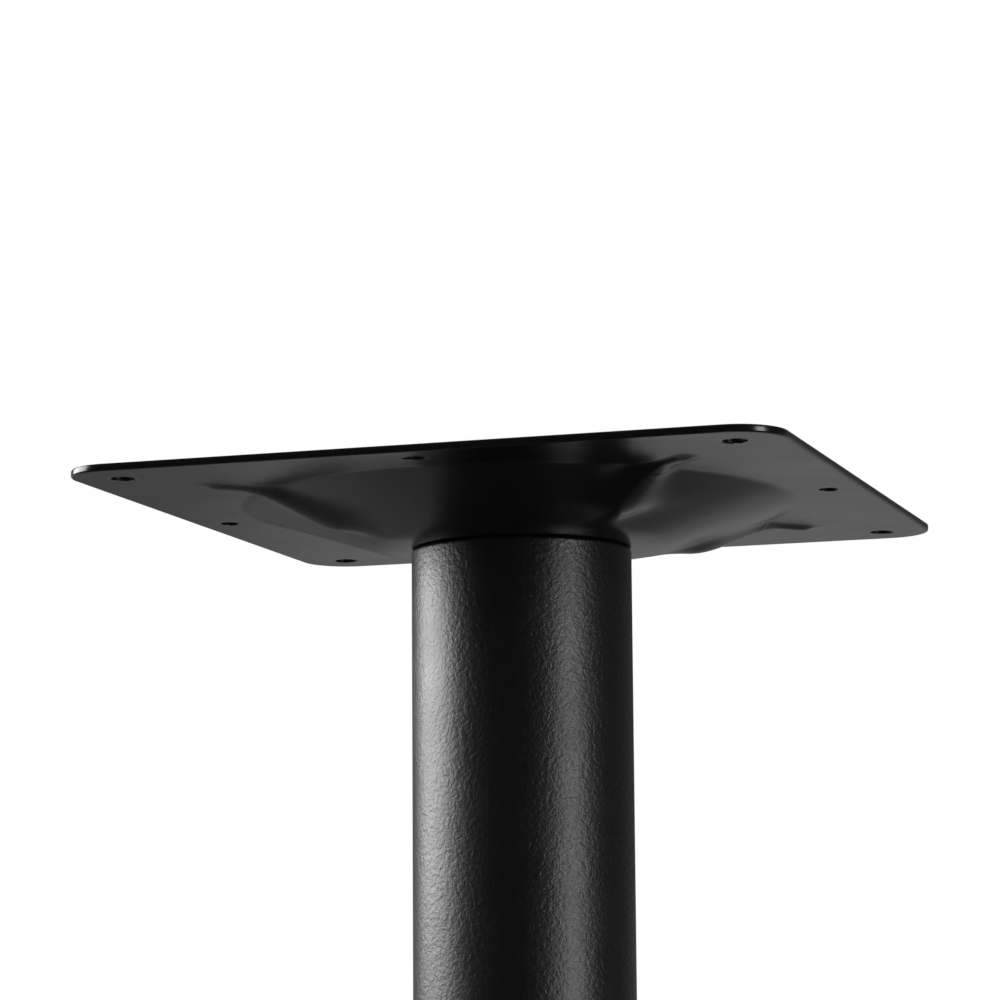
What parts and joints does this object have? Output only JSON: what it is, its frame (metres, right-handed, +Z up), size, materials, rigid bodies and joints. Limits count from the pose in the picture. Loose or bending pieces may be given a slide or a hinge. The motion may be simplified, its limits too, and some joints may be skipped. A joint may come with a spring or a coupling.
{
  "type": "cafe table base",
  "caption": "Pedestal table base: square pressed top plate with screw holes, round steel column and flat round cast foot on screw-in levelling glides.",
  "frame": {"origin": "on the floor under the middle of the column", "axes": "+Z up along the column, +X and +Y square to the sides of the top plate"},
  "size_m": [0.4, 0.4, 0.72],
  "materials": {
    "powder_coated_plate": "fine satin powder coat",
    "powder_coated_tube": "coarse textured satin powder coat",
    "powder_coated_casting": "coarse textured satin powder coat over cast iron",
    "zinc_plated_steel": "bright zinc plate",
    "black_nylon": "moulded, matt"
  },
  "bodies": {
    "base": {"top_plate": "powder_coated_plate", "column": "powder_coated_tube", "base_casting": "powder_coated_casting", "tie_rod": "zinc_plated_steel", "top_washer": "zinc_plated_steel", "top_lock_washer": "zinc_plated_steel", "top_nut": "zinc_plated_steel", "base_washer": "zinc_plated_steel", "base_lock_washer": "zinc_plated_steel", "base_nut": "zinc_plated_steel"},
    "foot_1": {"foot_pad_1": "black_nylon", "foot_stud_1": "zinc_plated_steel"},
    "foot_2": {"foot_pad_2": "black_nylon", "foot_stud_2": "zinc_plated_steel"},
    "foot_3": {"foot_pad_3": "black_nylon", "foot_stud_3": "zinc_plated_steel"},
    "foot_4": {"foot_pad_4": "black_nylon", "foot_stud_4": "zinc_plated_steel"}
  },
  "joints": [
    {"name": "foot_1_screw", "type": "slide", "parent": "base", "child": "foot_1", "axis": [0, 0, -1], "range_m": [0, 0.006]},
    {"name": "foot_2_screw", "type": "slide", "parent": "base", "child": "foot_2", "axis": [0, 0, -1], "range_m": [0, 0.006]},
    {"name": "foot_3_screw", "type": "slide", "parent": "base", "child": "foot_3", "axis": [0, 0, -1], "range_m": [0, 0.006]},
    {"name": "foot_4_screw", "type": "slide", "parent": "base", "child": "foot_4", "axis": [0, 0, -1], "range_m": [0, 0.006]}
  ]
}
